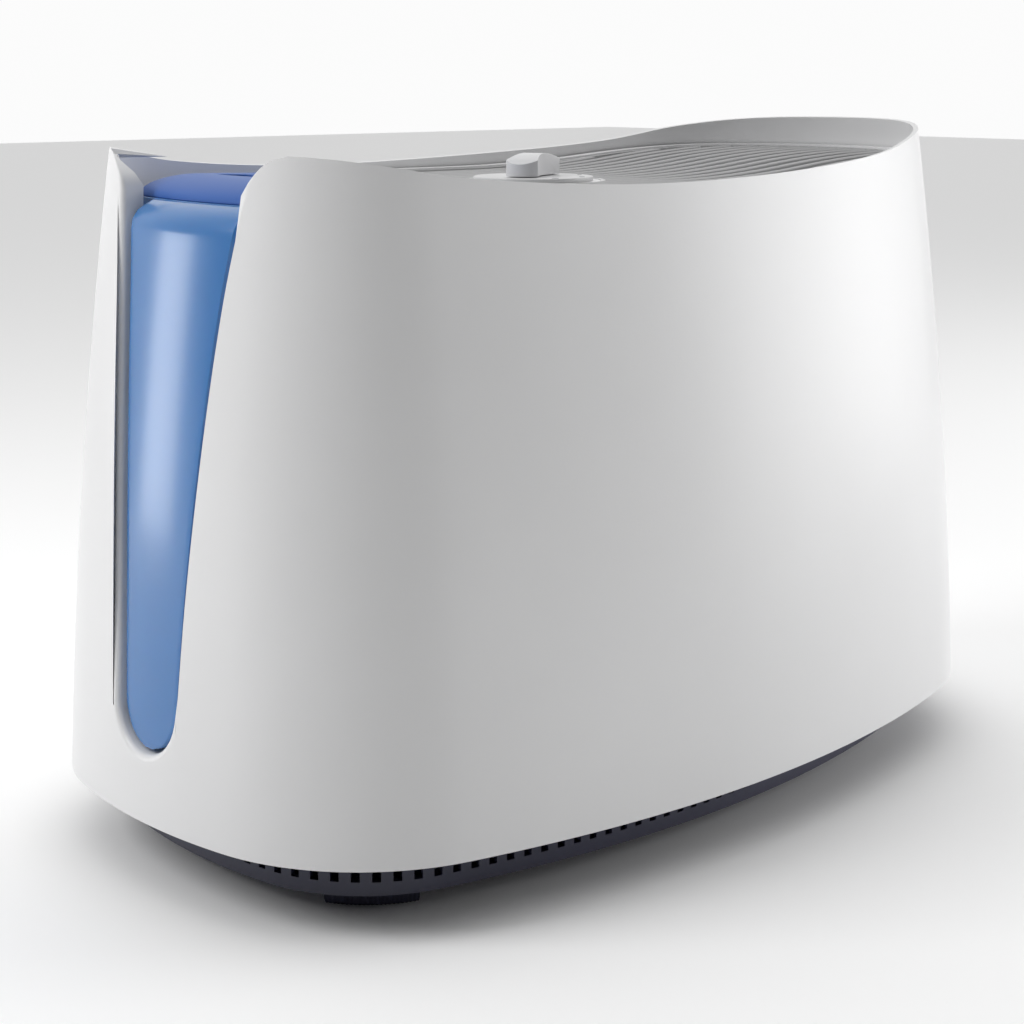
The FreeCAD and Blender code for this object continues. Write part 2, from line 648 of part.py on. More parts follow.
def tank_cap():
    """Screw cap with a valve seat in its floor and a small cage over it."""
    cap = rod(CAP_RADIUS, TANK_X, 0, CAP_LOW, CAP_HIGH)
    for i in range(24):
        turn = 2 * math.pi * i / 24
        x = TANK_X + (CAP_RADIUS + 0.6) * math.cos(turn)
        cap = cap.cut(rod(1.4, x, (CAP_RADIUS + 0.6) * math.sin(turn), CAP_LOW - 1, CAP_HIGH + 1))
    cap = cap.cut(rod(NECK_RADIUS + 0.5, TANK_X, 0, CAP_LOW + CAP_FLOOR, CAP_HIGH + 1))
    cap = cap.cut(rod(5.5, TANK_X, 0, CAP_LOW - 1, CAP_LOW + 5))
    floor = CAP_LOW + CAP_FLOOR
    for i in range(3):
        leg = box(12, 15, -2, 2, floor, CAGE_TOP)
        leg.rotate(V(0, 0, 0), UP, 120 * i)
        leg.translate(V(TANK_X, 0, 0))
        cap = cap.fuse(leg)
    cage = ring(15, VALVE_STEM + 0.1, TANK_X, 0, CAGE_TOP - 2, CAGE_TOP)
    return cap.fuse(cage).removeSplitter()


def cap_gasket():
    low = CAP_LOW + CAP_FLOOR
    return ring(NECK_RADIUS - 0.2, NECK_RADIUS - 2.4, TANK_X, 0, low, NECK_LOW - REST_GAP)


def valve_plunger():
    """Stem that the post lifts, with the collar that the spring presses on."""
    stem = rod(VALVE_STEM, TANK_X, 0, POST_TOP + REST_GAP, CAGE_TOP + 4)
    return stem.fuse(rod(7, TANK_X, 0, COLLAR_LOW, COLLAR_LOW + COLLAR_THICKNESS))


def valve_seal():
    return ring(9, VALVE_STEM, TANK_X, 0, SEAL_LOW, COLLAR_LOW)


def valve_spring():
    """Closed tube of the spring's outer size, between the collar and the cage."""
    low = COLLAR_LOW + COLLAR_THICKNESS + 0.05
    return ring(4.6, 3.4, TANK_X, 0, low, CAGE_TOP - 2.05)


# ---------------------------------------------------------------- base body

def vent_slots():
    """Upright cutters, evenly spaced along the skirt."""
    outline = plan_wire(SKIRT_INSET + TRAY_WALL / 2, VENT_LOW)
    count = int(outline.Length / VENT_PITCH)
    points = outline.discretize(Number=count + 1)
    cutters = []
    for before, here in zip(points, points[1:]):
        along = here - before
        cutter = box(-VENT_WIDTH / 2, VENT_WIDTH / 2, -4, 4, VENT_LOW, VENT_HIGH)
        cutter.rotate(V(0, 0, 0), UP, math.degrees(math.atan2(along.y, along.x)))
        middle = (here + before) / 2
        cutter.translate(V(middle.x, middle.y, 0))
        cutters.append(cutter)
    return Part.makeCompound(cutters)


def base_tray():
    """Water tray in a slotted skirt, with the post that opens the tank valve in its well."""
    tray = straight_solid(SKIRT_INSET, BASE_BOTTOM, SKIRT_TOP)
    tray = tray.cut(straight_solid(SKIRT_INSET + TRAY_WALL, BASE_BOTTOM + TRAY_FLOOR, SKIRT_TOP + 1))
    tray = tray.cut(vent_slots())
    tub = straight_solid(TUB_INSET, BASE_BOTTOM, TUB_TOP)
    tub = tub.cut(straight_solid(TUB_INSET + TRAY_WALL, BASE_BOTTOM + TRAY_FLOOR, TUB_TOP + 1))
    tray = tray.fuse(tub)
    floor = BASE_BOTTOM + TRAY_FLOOR
    tray = tray.fuse(rod(4, TANK_X, 0, floor - 1, POST_TOP))
    for i in range(4):
        web = box(0, 12, -1, 1, floor - 1, POST_TOP - 4)
        web.rotate(V(0, 0, 0), UP, 90 * i)
        web.translate(V(TANK_X, 0, 0))
        tray = tray.fuse(web)
    tray = tray.fuse(ring(WICK_INNER - 1, WICK_INNER - 3, FAN_X, 0, floor - 1, floor + 8))
    well = ring(WELL_RADIUS, WELL_RADIUS - TRAY_WALL, TANK_X, 0, floor - 1, TANK_LOW - REST_GAP)
    for i in range(4):
        notch = box(20, 50, -10, 10, floor, floor + 18)
        notch.rotate(V(0, 0, 0), UP, 45 + 90 * i)
        notch.translate(V(TANK_X, 0, 0))
        well = well.cut(notch)
    return tray.fuse(well).removeSplitter()


def rubber_feet():
    """Four curved feet under the corners of the tray."""
    left = (CORNER[0], CORNER[1], CORNER_RADIUS - FOOT_OUTER_INSET, 209, 252)
    right = (RIGHT_X, 0, RIGHT_RADIUS - FOOT_OUTER_INSET + 3, 285, 318)
    feet = []
    for x, y, outer, start, end in (left, right):
        block = Part.makeCylinder(outer, BASE_BOTTOM, V(0, 0, 0), UP, end - start)
        block = block.cut(rod(outer - FOOT_WIDTH, 0, 0, -1, 20))
        bottom = [e for e in block.Edges if e.BoundBox.ZMax < 0.1]
        block = block.makeFillet(1.5, bottom)
        block.rotate(V(0, 0, 0), UP, start)
        block.translate(V(x, y, 0))
        feet += [block, block.mirror(V(0, 0, 0), V(0, 1, 0))]
    return Part.makeCompound(feet)


def sector(outer, inner, low, high, half_angle):
    """Upright curved slab about the fan's axis, open towards the tank."""
    slab = Part.makeCylinder(outer, high - low, V(0, 0, low), UP, 2 * half_angle)
    slab = slab.cut(rod(inner, 0, 0, low - 1, high + 1))
    slab.rotate(V(0, 0, 0), UP, -half_angle)
    slab.translate(V(FAN_X, 0, 0))
    return slab


def wick_filter():
    floor = BASE_BOTTOM + TRAY_FLOOR
    return sector(WICK_OUTER, WICK_INNER, floor, WICK_HIGH, WICK_HALF_ANGLE)


def filter_frame():
    """Top ring over the wick, and the baffle that closes the gap towards the tank."""
    floor = BASE_BOTTOM + TRAY_FLOOR
    frame = ring(WICK_OUTER + 2, WICK_INNER - 2, FAN_X, 0, WICK_HIGH, WICK_HIGH + 3)
    gap = ring(WICK_OUTER - 8, WICK_OUTER - 10.5, FAN_X, 0, floor, WICK_HIGH + 3)
    gap = gap.cut(sector(WICK_OUTER + 5, 1, floor - 1, WICK_HIGH, WICK_HALF_ANGLE))
    return frame.fuse(gap).removeSplitter()


PIECES = [outer_housing, top_deck, outlet_grille, dial_plate, rotary_switch, tank_bay_liner,
          fan_shroud, motor_bracket, motor_grommets, bracket_screws, shroud_screws, motor_can,
          motor_end_bell, cord_gland, supply_lead, motor_lead, lead_clips, control_knob,
          switch_shaft, fan_blade, motor_shaft, fan_nut, water_tank, tank_grip, tank_cap,
          cap_gasket, valve_plunger, valve_seal, valve_spring, base_tray, rubber_feet,
          wick_filter, filter_frame]

os.makedirs("parts", exist_ok=True)
for piece in PIECES:
    solid = piece()
    save(piece.__name__, solid)
    size = solid.BoundBox
    print("%-16s solids %2d valid %s  x %.1f..%.1f  y %.1f..%.1f  z %.1f..%.1f" % (
        piece.__name__, len(solid.Solids), solid.isValid(), size.XMin, size.XMax,
        size.YMin, size.YMax, size.ZMin, size.ZMax), flush=True)
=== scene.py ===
import math
import bpy
from mathutils import Matrix, Vector


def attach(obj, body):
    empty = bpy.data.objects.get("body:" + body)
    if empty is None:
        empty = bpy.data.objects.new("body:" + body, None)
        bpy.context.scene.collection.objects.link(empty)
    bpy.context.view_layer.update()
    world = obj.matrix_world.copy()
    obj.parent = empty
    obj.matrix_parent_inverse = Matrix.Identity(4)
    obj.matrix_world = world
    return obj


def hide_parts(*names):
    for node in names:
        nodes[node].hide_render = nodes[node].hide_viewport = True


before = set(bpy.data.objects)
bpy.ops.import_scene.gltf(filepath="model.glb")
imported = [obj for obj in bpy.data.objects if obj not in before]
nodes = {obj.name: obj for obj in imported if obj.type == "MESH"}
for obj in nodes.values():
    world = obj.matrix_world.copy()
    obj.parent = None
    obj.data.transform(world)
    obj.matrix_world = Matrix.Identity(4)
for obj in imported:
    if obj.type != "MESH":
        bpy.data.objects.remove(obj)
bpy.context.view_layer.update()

# ---- Studio ----
# A pale floor that runs off to a white wall. Softboxes stand at the right and at the tank's
# end, under a wide overhead diffuser. The camera stands low at the tank's corner.
bpy.ops.object.select_all(action="DESELECT")
bpy.ops.mesh.primitive_plane_add(size=14.0, location=(0, 0, 0))
floor = bpy.context.object
floor.name = "studio_floor"
floor_paint = bpy.data.materials.new("studio_floor_paint")
floor_paint.use_nodes = True
floor_shader = floor_paint.node_tree.nodes["Principled BSDF"]
floor_shader.inputs["Base Color"].default_value = (0.96, 0.96, 0.96, 1)
floor_shader.inputs["Roughness"].default_value = 0.9
floor_shader.inputs["Specular IOR Level"].default_value = 0.1
floor.data.materials.append(floor_paint)

bpy.context.scene.view_settings.view_transform = "Standard"
room = bpy.data.worlds.new("white_room")
bpy.context.scene.world = room
room.use_nodes = True
tree = room.node_tree
backdrop = tree.nodes["Background"]
backdrop.inputs["Strength"].default_value = 1.0
direction = tree.nodes.new("ShaderNodeTexCoord")
away = tree.nodes.new("ShaderNodeVectorMath")
away.operation = "DOT_PRODUCT"
away.inputs[1].default_value = (0.67, 0.74, 0.06)
tree.links.new(direction.outputs["Generated"], away.inputs[0])
walls = tree.nodes.new("ShaderNodeValToRGB")
walls.color_ramp.elements[0].position = 0.46
walls.color_ramp.elements[0].color = (0.07, 0.07, 0.07, 1)
walls.color_ramp.elements[1].position = 0.80
walls.color_ramp.elements[1].color = (0.97, 0.97, 0.97, 1)
spread = tree.nodes.new("ShaderNodeMapRange")
spread.inputs["From Min"].default_value = -1.0
tree.links.new(away.outputs["Value"], spread.inputs["Value"])
tree.links.new(spread.outputs["Result"], walls.inputs["Fac"])
tree.links.new(walls.outputs["Color"], backdrop.inputs["Color"])


def studio_light(name, place, aim, width, height, watts):
    lamp = bpy.data.lights.new(name, "AREA")
    lamp.shape = "RECTANGLE"
    lamp.size = width
    lamp.size_y = height
    lamp.energy = watts
    holder = bpy.data.objects.new(name, lamp)
    holder.location = place
    direction = Vector(aim) - Vector(place)
    holder.rotation_euler = direction.to_track_quat("-Z", "Y").to_euler()
    bpy.context.scene.collection.objects.link(holder)


studio_light("right_softbox", (1.6, -0.85, 0.45), (0.1, 0, 0.14), 1.2, 1.1, 19)
studio_light("tank_end_softbox", (-1.1, 0.45, 1.0), (-0.15, 0, 0.15), 0.6, 0.6, 8.5)
studio_light("tank_face_strip", (-0.86, 1.0, 0.12), (-0.2, 0, 0.15), 0.24, 0.62, 2.3)
overhead = bpy.data.lights.new("overhead_diffuser", "SUN")
overhead.energy = 0.9
overhead.angle = math.radians(70)
overhead_holder = bpy.data.objects.new("overhead_diffuser", overhead)
bpy.context.scene.collection.objects.link(overhead_holder)

camera_data = bpy.data.cameras.new("studio_camera")
camera_data.sensor_width = 36.0
camera_data.lens = 70.28
camera = bpy.data.objects.new("studio_camera", camera_data)
camera.location = (-0.58969, -0.61980, 0.30484)
camera.rotation_euler = (math.radians(90 - 12.53), 0, math.radians(-42.19))
bpy.context.scene.collection.objects.link(camera)
bpy.context.scene.camera = camera

# ---- Outer housing ----
# One injection-moulded white shell, 2 to 3 mm thick, leaning in as it rises. Its top edge
# is a wave, and the left end is open in a V whose edge is rolled inwards.
HALF_LENGTH = 0.217
LEFT_RADIUS = 0.256
LEFT_HALF_ANGLE = math.radians(11.0)
CORNER_RADIUS = 0.0825
CORNER_END = math.radians(76.2)
SIDE_RADIUS = 0.5409
SHELL_BOTTOM = 0.028
SHELL_SHEET = 0.0022
SHELL_EDGE_BREAK = 0.0009
SLOT_FOOT_RADIUS = 0.0195
SLOT_FOOT_MIDDLE = 0.0735
SLOT_SHOULDER = 0.257
SLOT_END_X = -0.17
SLOT_EDGE = [(0.0735, 0.0195), (0.120, 0.0223), (0.180, 0.0276), (0.225, 0.0327), (0.257, 0.038)]
FLARE = [(0.038, 0.257), (0.0415, 0.264), (0.046, 0.2698), (0.0505, 0.2733), (0.056, 0.2750)]
RIM = [(-0.235, 0.277), (-0.182, 0.2753), (-0.135, 0.268), (-0.077, 0.2639), (-0.020, 0.2635),
       (0.058, 0.2665), (0.111, 0.2706), (0.150, 0.2773), (0.185, 0.2814), (0.235, 0.282)]

left_x = LEFT_RADIUS - HALF_LENGTH
reach = LEFT_RADIUS - CORNER_RADIUS
corner_x = left_x - reach * math.cos(LEFT_HALF_ANGLE)
corner_y = -reach * math.sin(LEFT_HALF_ANGLE)
reach = SIDE_RADIUS - CORNER_RADIUS
side_x = corner_x + reach * math.cos(CORNER_END)
side_y = corner_y + reach * math.sin(CORNER_END)
span = HALF_LENGTH - side_x
right_radius = (SIDE_RADIUS ** 2 - span ** 2 - side_y ** 2) / (2 * (SIDE_RADIUS - span))
right_x = HALF_LENGTH - right_radius
side_end = math.atan2(side_y, side_x - right_x)
PLAN_ARCS = [(left_x, 0.0, LEFT_RADIUS, 0.0, LEFT_HALF_ANGLE),
             (corner_x, corner_y, CORNER_RADIUS, LEFT_HALF_ANGLE, CORNER_END),
             (side_x, side_y, SIDE_RADIUS, CORNER_END, side_end),
             (right_x, 0.0, right_radius, side_end, math.pi)]


def smooth_through(table, at):
    """Value of a smooth curve through the points of a table (Catmull-Rom)."""
    at = min(max(at, table[0][0]), table[-1][0])
    k = 0
    while k < len(table) - 2 and at > table[k + 1][0]:
        k += 1
    before = table[max(k - 1, 0)]
    start = table[k]
    end = table[k + 1]
    after = table[min(k + 2, len(table) - 1)]
    width = end[0] - start[0]
    t = (at - start[0]) / width
    slope_in = (end[1] - before[1]) / (end[0] - before[0]) * width
    slope_out = (after[1] - start[1]) / (after[0] - start[0]) * width
    return ((2 * t ** 3 - 3 * t ** 2 + 1) * start[1] + (t ** 3 - 2 * t ** 2 + t) * slope_in
            + (3 * t ** 2 - 2 * t ** 3) * end[1] + (t ** 3 - t ** 2) * slope_out)


def lean(z):
    rise = (z - SHELL_BOTTOM) / 0.1
    return 0.00577 * rise + 0.00184 * rise * rise


def plan_point(travel, inset):
    """Point on the plan outline after a travel from the left end, in metres along its front."""
    sign = 1 if travel >= 0 else -1
    left = abs(travel)
    for x, y, radius, start, end in PLAN_ARCS:
        arc = radius * (end - start)
        if left <= arc or end == math.pi:
            break
        left -= arc
    angle = start + left / radius
    radius -= inset
    return x - radius * math.cos(angle), sign * (y - radius * math.sin(angle))


half_plan = sum(arc[2] * (arc[4] - arc[3]) for arc in PLAN_ARCS)


def rim_height(x, y):
    """Height of the housing's edge above a place on its wall."""
    if x < SLOT_END_X and abs(y) < FLARE[-1][0]:
        return smooth_through(FLARE, abs(y))
    return smooth_through(RIM, x)


EDGE_ROUND = 0.0025
EDGE_DEPTH = 0.0095
EDGE_STEPS = 6
EDGE_FADE_TOP = 0.2752
EDGE_FADE = 0.014
CUT_RADIUS = SLOT_FOOT_RADIUS + EDGE_ROUND


def cut_half(z):
    """Half width of the slot in the flat sheet, before its edge is rolled in."""
    return smooth_through(SLOT_EDGE, z) + EDGE_ROUND


def slot_travel(z):
    """How far round from the left end the cut's edge is, at a height."""
    return LEFT_RADIUS * math.asin(cut_half(z) / (LEFT_RADIUS - lean(z)))


TINY = 1e-5


def laid_sheet(name, rows):
    """A grid laid onto rows of points, each row from left to right."""
    bpy.ops.object.select_all(action="DESELECT")
    bpy.ops.mesh.primitive_grid_add(x_subdivisions=len(rows[0]) - 1, y_subdivisions=len(rows) - 1)
    piece = bpy.context.object
    piece.name = name
    points = [point for row in rows for point in row]
    for vertex, point in zip(piece.data.vertices, points):
        vertex.co = point
    bpy.ops.object.mode_set(mode="EDIT")
    bpy.ops.mesh.select_all(action="SELECT")
    bpy.ops.mesh.remove_doubles(threshold=TINY)
    bpy.ops.mesh.normals_make_consistent(inside=False)
    bpy.ops.mesh.select_all(action="DESELECT")
    bpy.ops.object.mode_set(mode="OBJECT")
    return piece


def apply_modifier(piece, kind, **settings):
    bpy.context.view_layer.objects.active = piece
    added = piece.modifiers.new(kind.lower(), kind)
    for key, value in settings.items():
        setattr(added, key, value)
    bpy.ops.object.modifier_apply(modifier=added.name)


def smooth_by_angle(piece, degrees):
    bpy.ops.object.select_all(action="DESELECT")
    piece.select_set(True)
    bpy.context.view_layer.objects.active = piece
    bpy.ops.object.shade_smooth_by_angle(angle=math.radians(degrees))


FOOT_ROWS = 14
SIDE_ROWS = 62
FOOT_COLUMNS = 9
WALL_COLUMNS = 170
rows = []
for r in range(FOOT_ROWS + SIDE_ROWS + 1):
    row = []
    for side in (1, -1):
        strip = []
        for c in range(FOOT_COLUMNS):
            turn = math.pi / 2 * c / FOOT_COLUMNS
            foot = SLOT_FOOT_MIDDLE - CUT_RADIUS * math.cos(turn)
            z = SHELL_BOTTOM + (foot - SHELL_BOTTOM) * min(r / FOOT_ROWS, 1)
            y = CUT_RADIUS * math.sin(turn)
            strip.append((LEFT_RADIUS * math.asin(y / (LEFT_RADIUS - lean(z))), z))
        for c in range(WALL_COLUMNS + 1):
            share = c / WALL_COLUMNS
            base_travel = slot_travel(SLOT_SHOULDER) + (half_plan - slot_travel(SLOT_SHOULDER)) * share
            top = rim_height(*plan_point(base_travel, lean(0.27)))
            if r <= FOOT_ROWS:
                z = SHELL_BOTTOM + (SLOT_FOOT_MIDDLE - SHELL_BOTTOM) * r / FOOT_ROWS
            else:
                z = SLOT_FOOT_MIDDLE + (top - SLOT_FOOT_MIDDLE) * (r - FOOT_ROWS) / SIDE_ROWS
            edge = slot_travel(min(z, SLOT_SHOULDER))
            strip.append((edge + (half_plan - edge) * share, z))
        points = [(*plan_point(side * travel, lean(z)), z) for travel, z in strip]
        row = row + points if side > 0 else points[:0:-1] + row
    rows.append(row)
housing = laid_sheet("outer_housing_shell", rows)


def open_slot(piece):
    """Takes away the folded faces inside the slot, above its round foot."""
    bpy.ops.object.mode_set(mode="EDIT")
    bpy.ops.mesh.select_all(action="DESELECT")
    bpy.ops.mesh.select_mode(type="FACE")
    bpy.ops.object.mode_set(mode="OBJECT")
    for face in piece.data.polygons:
        x, y, z = face.center
        foot = SLOT_FOOT_MIDDLE - math.sqrt(max(CUT_RADIUS ** 2 - y * y, 0))
        inside = abs(y) < cut_half(max(z, SLOT_FOOT_MIDDLE)) - 0.0001
        face.select = x < SLOT_END_X and inside and (z > foot - 0.0002)
    bpy.ops.object.mode_set(mode="EDIT")
    bpy.ops.mesh.delete(type="FACE")
    bpy.ops.object.mode_set(mode="OBJECT")


open_slot(housing)


def end_wall_x(y, z):
    return left_x - math.sqrt((LEFT_RADIUS - lean(z)) ** 2 - y * y)


def roll_edge_in(piece, radius, depth, steps):
    """Rolls the slot's edge round a radius and on inwards, less and less towards the peaks."""
    bpy.ops.object.mode_set(mode="EDIT")
    bpy.ops.mesh.select_mode(type="EDGE")
    bpy.ops.mesh.select_all(action="DESELECT")
    bpy.ops.mesh.select_non_manifold()
    bpy.ops.object.mode_set(mode="OBJECT")
    for edge in piece.data.edges:
        ends = [piece.data.vertices[i].co for i in edge.vertices]
        on_slot = all(p.x < SLOT_END_X and abs(p.y) < FLARE[-1][0] and p.z > 0.04 for p in ends)
        edge.select = edge.select and on_slot
    turns = [math.pi / 2 * i / steps for i in range(steps + 1)]
    moves = [(radius * (math.sin(b) - math.sin(a)), radius * (math.cos(a) - math.cos(b)))
             for a, b in zip(turns, turns[1:])]
    moves += [(0.0, (depth - radius) / 3)] * 3
    for closer, inwards in moves:
        bpy.ops.object.mode_set(mode="EDIT")
        bpy.ops.mesh.extrude_edges_move(TRANSFORM_OT_translate={"value": (0, 0, 0)})
        bpy.ops.object.mode_set(mode="OBJECT")
        for vertex in piece.data.vertices:
            if vertex.select:
                x, y, z = vertex.co
                fade = min(max((EDGE_FADE_TOP - z) / EDGE_FADE, 0.0), 1.0)
                fade = fade * fade * (3 - 2 * fade)
                rise = min(z - SLOT_FOOT_MIDDLE, 0.0)
                away = math.hypot(y, rise)
                new_y = y * (1 - closer * fade / away)
                new_z = z - rise * closer * fade / away
                new_x = x + end_wall_x(new_y, new_z) - end_wall_x(y, z) + inwards * fade
                vertex.co = (new_x, new_y, new_z)
    bpy.ops.object.mode_set(mode="EDIT")
    bpy.ops.mesh.select_mode(type="VERT")
    bpy.ops.mesh.select_all(action="SELECT")
    bpy.ops.mesh.remove_doubles(threshold=TINY)
    bpy.ops.mesh.normals_make_consistent(inside=False)
    bpy.ops.mesh.select_all(action="DESELECT")
    bpy.ops.object.mode_set(mode="OBJECT")


roll_edge_in(housing, EDGE_ROUND, EDGE_DEPTH, EDGE_STEPS)
apply_modifier(housing, "SOLIDIFY", thickness=SHELL_SHEET, offset=-1, use_even_offset=True)
apply_modifier(housing, "BEVEL", width=SHELL_EDGE_BREAK, segments=3, limit_method="ANGLE",
               angle_limit=math.radians(40))
smooth_by_angle(housing, 50)
apply_modifier(housing, "WEIGHTED_NORMAL", keep_sharp=True)


def plastic(name, color, roughness, grain=0.02, grain_scale=900, coat=0.0, tint=0.02):
    """Moulded plastic: a fine spark texture in its bump, and a slow drift in tone and gloss."""
    material = bpy.data.materials.new(name)
    material.use_nodes = True
    tree = material.node_tree
    shader = tree.nodes["Principled BSDF"]
    shader.inputs["Coat Weight"].default_value = coat
    shader.inputs["Coat Roughness"].default_value = 0.12
    place = tree.nodes.new("ShaderNodeTexCoord")
    drift = tree.nodes.new("ShaderNodeTexNoise")
    drift.inputs["Scale"].default_value = 7.0
    drift.inputs["Detail"].default_value = 3.0
    tree.links.new(place.outputs["Object"], drift.inputs["Vector"])
    tone = tree.nodes.new("ShaderNodeValToRGB")
    tone.color_ramp.elements[0].position = 0.35
    tone.color_ramp.elements[1].position = 0.65
    tone.color_ramp.elements[0].color = (*[c * (1 - tint) for c in color], 1)
    tone.color_ramp.elements[1].color = (*[min(c * (1 + tint), 1) for c in color], 1)
    tree.links.new(drift.outputs["Fac"], tone.inputs["Fac"])
    tree.links.new(tone.outputs["Color"], shader.inputs["Base Color"])
    sheen = tree.nodes.new("ShaderNodeMapRange")
    sheen.inputs["To Min"].default_value = roughness - 0.03
    sheen.inputs["To Max"].default_value = roughness + 0.03
    tree.links.new(drift.outputs["Fac"], sheen.inputs["Value"])
    tree.links.new(sheen.outputs["Result"], shader.inputs["Roughness"])
    grains = tree.nodes.new("ShaderNodeTexNoise")
    grains.inputs["Scale"].default_value = grain_scale
    grains.inputs["Detail"].default_value = 2.0
    tree.links.new(place.outputs["Object"], grains.inputs["Vector"])
    bump = tree.nodes.new("ShaderNodeBump")
    bump.inputs["Strength"].default_value = grain
    bump.inputs["Distance"].default_value = 0.0004
    tree.links.new(grains.outputs["Fac"], bump.inputs["Height"])
    tree.links.new(bump.outputs["Normal"], shader.inputs["Normal"])
    return material


def dress(piece, material):
    """Puts one material on a piece or a CAD node."""
    piece.data.materials.clear()
    piece.data.materials.append(material)


shell_white = plastic("shell_white_plastic", (0.76, 0.76, 0.765), 0.36, grain=0.05)
dress(housing, shell_white)
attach(housing, "housing")
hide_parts("outer_housing")

# ---- Water tank ----
# Blow-moulded blue tank, its walls rounded into the top. A raised nose on its end fills the
# housing's slot, and a pan in its top leaves room for fingers under the grip.
TANK_INSET = 0.036
TANK_RIGHT = -0.062
TANK_LOW = 0.046
TANK_HIGH = 0.257
NOSE_INSET = 0.0032
NOSE_GAP = 0.0015
TANK_X = -0.120
HALVINGS = 40


def plan_travel_at(x, inset):
    """Travel round the plan outline, on its front, at which it passes x."""
    low = 0.0
    high = half_plan
    for _ in range(HALVINGS):
        middle = (low + high) / 2
        if plan_point(middle, inset)[0] < x:
            low = middle
        else:
            high = middle
    return low


def bay_outline(inset, right, corner):
    """Closed D outline: the plan's left part, shut by a straight wall with two round corners."""
    turn_x = right - corner
    travel = plan_travel_at(turn_x, inset)
    points = [plan_point(travel * (i / 60 - 1), inset) for i in range(121)]
    depth = -points[-1][1]
    front = []
    for i in range(1, 13):
        turn = math.pi / 2 * i / 12
        front.append((turn_x + corner * math.sin(turn), -depth + corner * (1 - math.cos(turn))))
    wall = [(right, (depth - corner) * (i / 8 - 1)) for i in range(1, 16)]
    rear = [(x, -y) for x, y in front[::-1]]
    return points + front + wall + rear + [points[0]]


def rounded_levels(low, high, bottom_round, top_round):
    """Heights and extra insets of the rows of an upright form with rounded edges."""
    levels = []
    for i in range(7):
        turn = math.pi / 2 * i / 6
        levels.append((low + bottom_round * (1 - math.cos(turn)), bottom_round * (1 - math.sin(turn))))
    for i in range(1, 24):
        levels.append((low + bottom_round + (high - top_round - low - bottom_round) * i / 24, 0.0))
    for i in range(10):
        turn = math.pi / 2 * i / 9
        levels.append((high - top_round * (1 - math.sin(turn)), top_round * (1 - math.cos(turn))))
    return levels


def close_ends(piece):
    """Fills the open loops of a form and turns all its faces outwards."""
    bpy.context.view_layer.objects.active = piece
    bpy.ops.object.mode_set(mode="EDIT")
    bpy.ops.mesh.select_mode(type="EDGE")
    bpy.ops.mesh.select_all(action="DESELECT")
    bpy.ops.mesh.select_non_manifold()
    bpy.ops.mesh.edge_face_add()
    bpy.ops.mesh.select_all(action="SELECT")
    bpy.ops.mesh.normals_make_consistent(inside=False)
    bpy.ops.mesh.select_all(action="DESELECT")
    bpy.ops.object.mode_set(mode="OBJECT")


def cut_with(piece, cutter, operation="DIFFERENCE"):
    apply_modifier(piece, "BOOLEAN", object=cutter, operation=operation, solver="EXACT")
    bpy.data.objects.remove(cutter)


def block(name, low, high, rounding, segments=4):
    """Rounded block between two corners."""
    bpy.ops.object.select_all(action="DESELECT")
    bpy.ops.mesh.primitive_cube_add(size=1.0)
    piece = bpy.context.object
    piece.name = name
    middle = [(a + b) / 2 for a, b in zip(low, high)]
    for vertex in piece.data.vertices:
        vertex.co = [m + v * (b - a) for m, v, a, b in zip(middle, vertex.co, low, high)]
    apply_modifier(piece, "BEVEL", width=rounding, segments=segments)
    return piece


def tank_body(name, shrink):
    """Upright part of the tank, taken in all round by an amount."""
    levels = rounded_levels(TANK_LOW + shrink, TANK_HIGH - shrink, 0.004, 0.0006)
    rows = [[(x, y, z) for x, y in bay_outline(TANK_INSET + shrink + inset,
                                               TANK_RIGHT - shrink - inset, 0.014 - shrink)]
            for z, inset in levels]
    body = laid_sheet(name, rows)
    close_ends(body)
    return body


NOSE_LOW = SLOT_FOOT_MIDDLE - SLOT_FOOT_RADIUS + NOSE_GAP
NOSE_BACK = -0.150
NOSE_CROWN = 0.010
NOSE_EDGE_ROUND = 0.0018
NOSE_END_GAP = 0.0004


def tank_nose(name, shrink):
    """Raised nose that follows the slot, rounded at its top and along its sides."""
    rows = []
    low = NOSE_LOW + NOSE_END_GAP + shrink
    for r in range(61):
        share = r / 60
        z = low + (TANK_HIGH - NOSE_END_GAP - shrink - low) * (share ** 1.25 if share < 0.3 else share)
        if z < SLOT_FOOT_MIDDLE:
            radius = SLOT_FOOT_RADIUS - NOSE_GAP - shrink
            half = math.sqrt(max(radius ** 2 - (SLOT_FOOT_MIDDLE - z) ** 2, 0))
        else:
            half = smooth_through(SLOT_EDGE, z) - NOSE_GAP - shrink
        top = max(z + shrink - (TANK_HIGH - NOSE_CROWN), 0) / NOSE_CROWN
        drawn_in = NOSE_CROWN * (1 - math.sqrt(max(1 - top * top, 0)))
        half -= 0.55 * drawn_in
        face_radius = LEFT_RADIUS - NOSE_INSET - lean(z) - drawn_in - shrink
        edge = min(NOSE_EDGE_ROUND, half * 0.6)
        row = []
        for i in range(-20, 21):
            y = half * i / 20
            near_edge = max(abs(y) - (half - edge), 0) / edge
            x = left_x - math.sqrt(face_radius ** 2 - y * y)
            row.append((x + edge * (1 - math.sqrt(max(1 - near_edge ** 2, 0))), y, z))
        rows.append([(NOSE_BACK, -half, z)] + row + [(NOSE_BACK, half, z), (NOSE_BACK, -half, z)])
    nose = laid_sheet(name, rows)
    close_ends(nose)
    return nose


def upright_rod(name, radius, low, high):
    bpy.ops.object.select_all(action="DESELECT")
    bpy.ops.mesh.primitive_cylinder_add(vertices=96, radius=radius, depth=high - low,
                                        location=(TANK_X, 0, (low + high) / 2))
    rod = bpy.context.object
    rod.name = name
    rod.data.transform(rod.matrix_world)
    rod.matrix_world = Matrix.Identity(4)
    return rod


